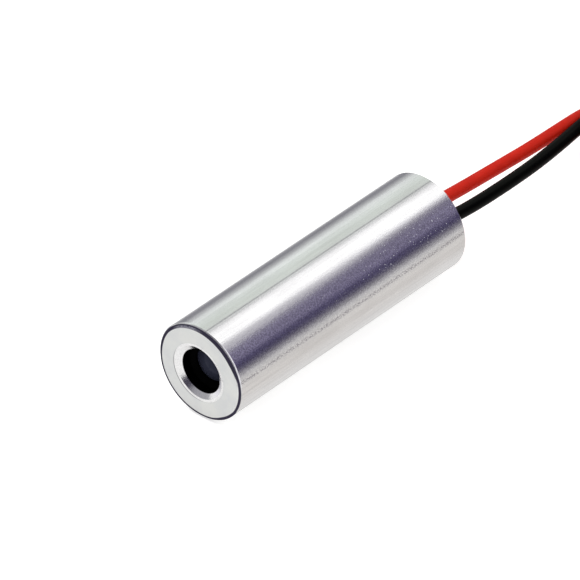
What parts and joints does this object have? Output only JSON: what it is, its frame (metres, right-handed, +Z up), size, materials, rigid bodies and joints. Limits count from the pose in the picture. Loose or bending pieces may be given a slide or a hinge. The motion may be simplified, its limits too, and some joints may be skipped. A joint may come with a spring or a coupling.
{
  "type": "laser diode module",
  "caption": "Slim metal barrel with a countersunk beam aperture in its closed front, a lens and sealed driver inside, and a red and a black lead out of its rear.",
  "frame": {"origin": "on the surface that the barrel lies on, under the middle of the barrel's length", "axes": "+Y along the barrel from the beam end to the lead end, so the beam leaves along -Y; +Z up; +X to the side of the black lead"},
  "size_m": [0.0145, 0.0577, 0.008],
  "materials": {
    "plated_barrel": "satin nickel plate, fine grain",
    "black_sleeve": "black anodised",
    "lens_clear": "polished, with a bluish reflection",
    "spring_steel": "drawn wire",
    "brass": "turned brass",
    "gold_plate": "gold plate",
    "nickel_can": "nickel plate",
    "window_glass": "clear",
    "ceramic": "white ceramic",
    "semiconductor": "polished grey",
    "seal_glass": "dark green glass",
    "board_green": "green glass-epoxy board",
    "black_moulding": "moulded resin",
    "tinned_metal": "tinned, soft shine",
    "ceramic_dark": "fired black film on ceramic",
    "ceramic_tan": "fired ceramic",
    "trimmer_white": "moulded",
    "black_resin": "cast resin",
    "red_pvc": "soft sheen",
    "black_pvc": "soft sheen"
  },
  "bodies": {
    "root": {"housing": "plated_barrel", "lens_barrel": "black_sleeve", "lens": "lens_clear", "lens_ring": "black_sleeve", "focus_spring": "spring_steel", "diode_holder": "brass", "diode_clamp_ring": "brass", "diode_header": "gold_plate", "diode_can": "nickel_can", "diode_window": "window_glass", "laser_submount": "ceramic", "laser_chip": "semiconductor", "monitor_photodiode": "semiconductor", "glass_seals": "seal_glass", "laser_pin": "gold_plate", "monitor_pin": "gold_plate", "common_pin": "gold_plate", "driver_board": "board_green", "pass_transistor": "black_moulding", "pass_transistor_legs": "tinned_metal", "sense_transistor": "black_moulding", "sense_transistor_legs": "tinned_metal", "chip_resistor_1": "ceramic_dark", "chip_resistor_2": "ceramic_dark", "chip_resistor_3": "ceramic_dark", "chip_capacitor_1": "ceramic_tan", "chip_capacitor_2": "ceramic_tan", "trimmer_base": "trimmer_white", "trimmer_rotor": "brass", "solder_joints": "tinned_metal", "rear_potting": "black_resin", "red_conductor": "tinned_metal", "black_conductor": "tinned_metal", "red_lead": "red_pvc", "black_lead": "black_pvc", "red_lead_coil": "red_pvc", "black_lead_coil": "black_pvc", "red_lead_tip": "tinned_metal", "black_lead_tip": "tinned_metal"}
  },
  "joints": []
}
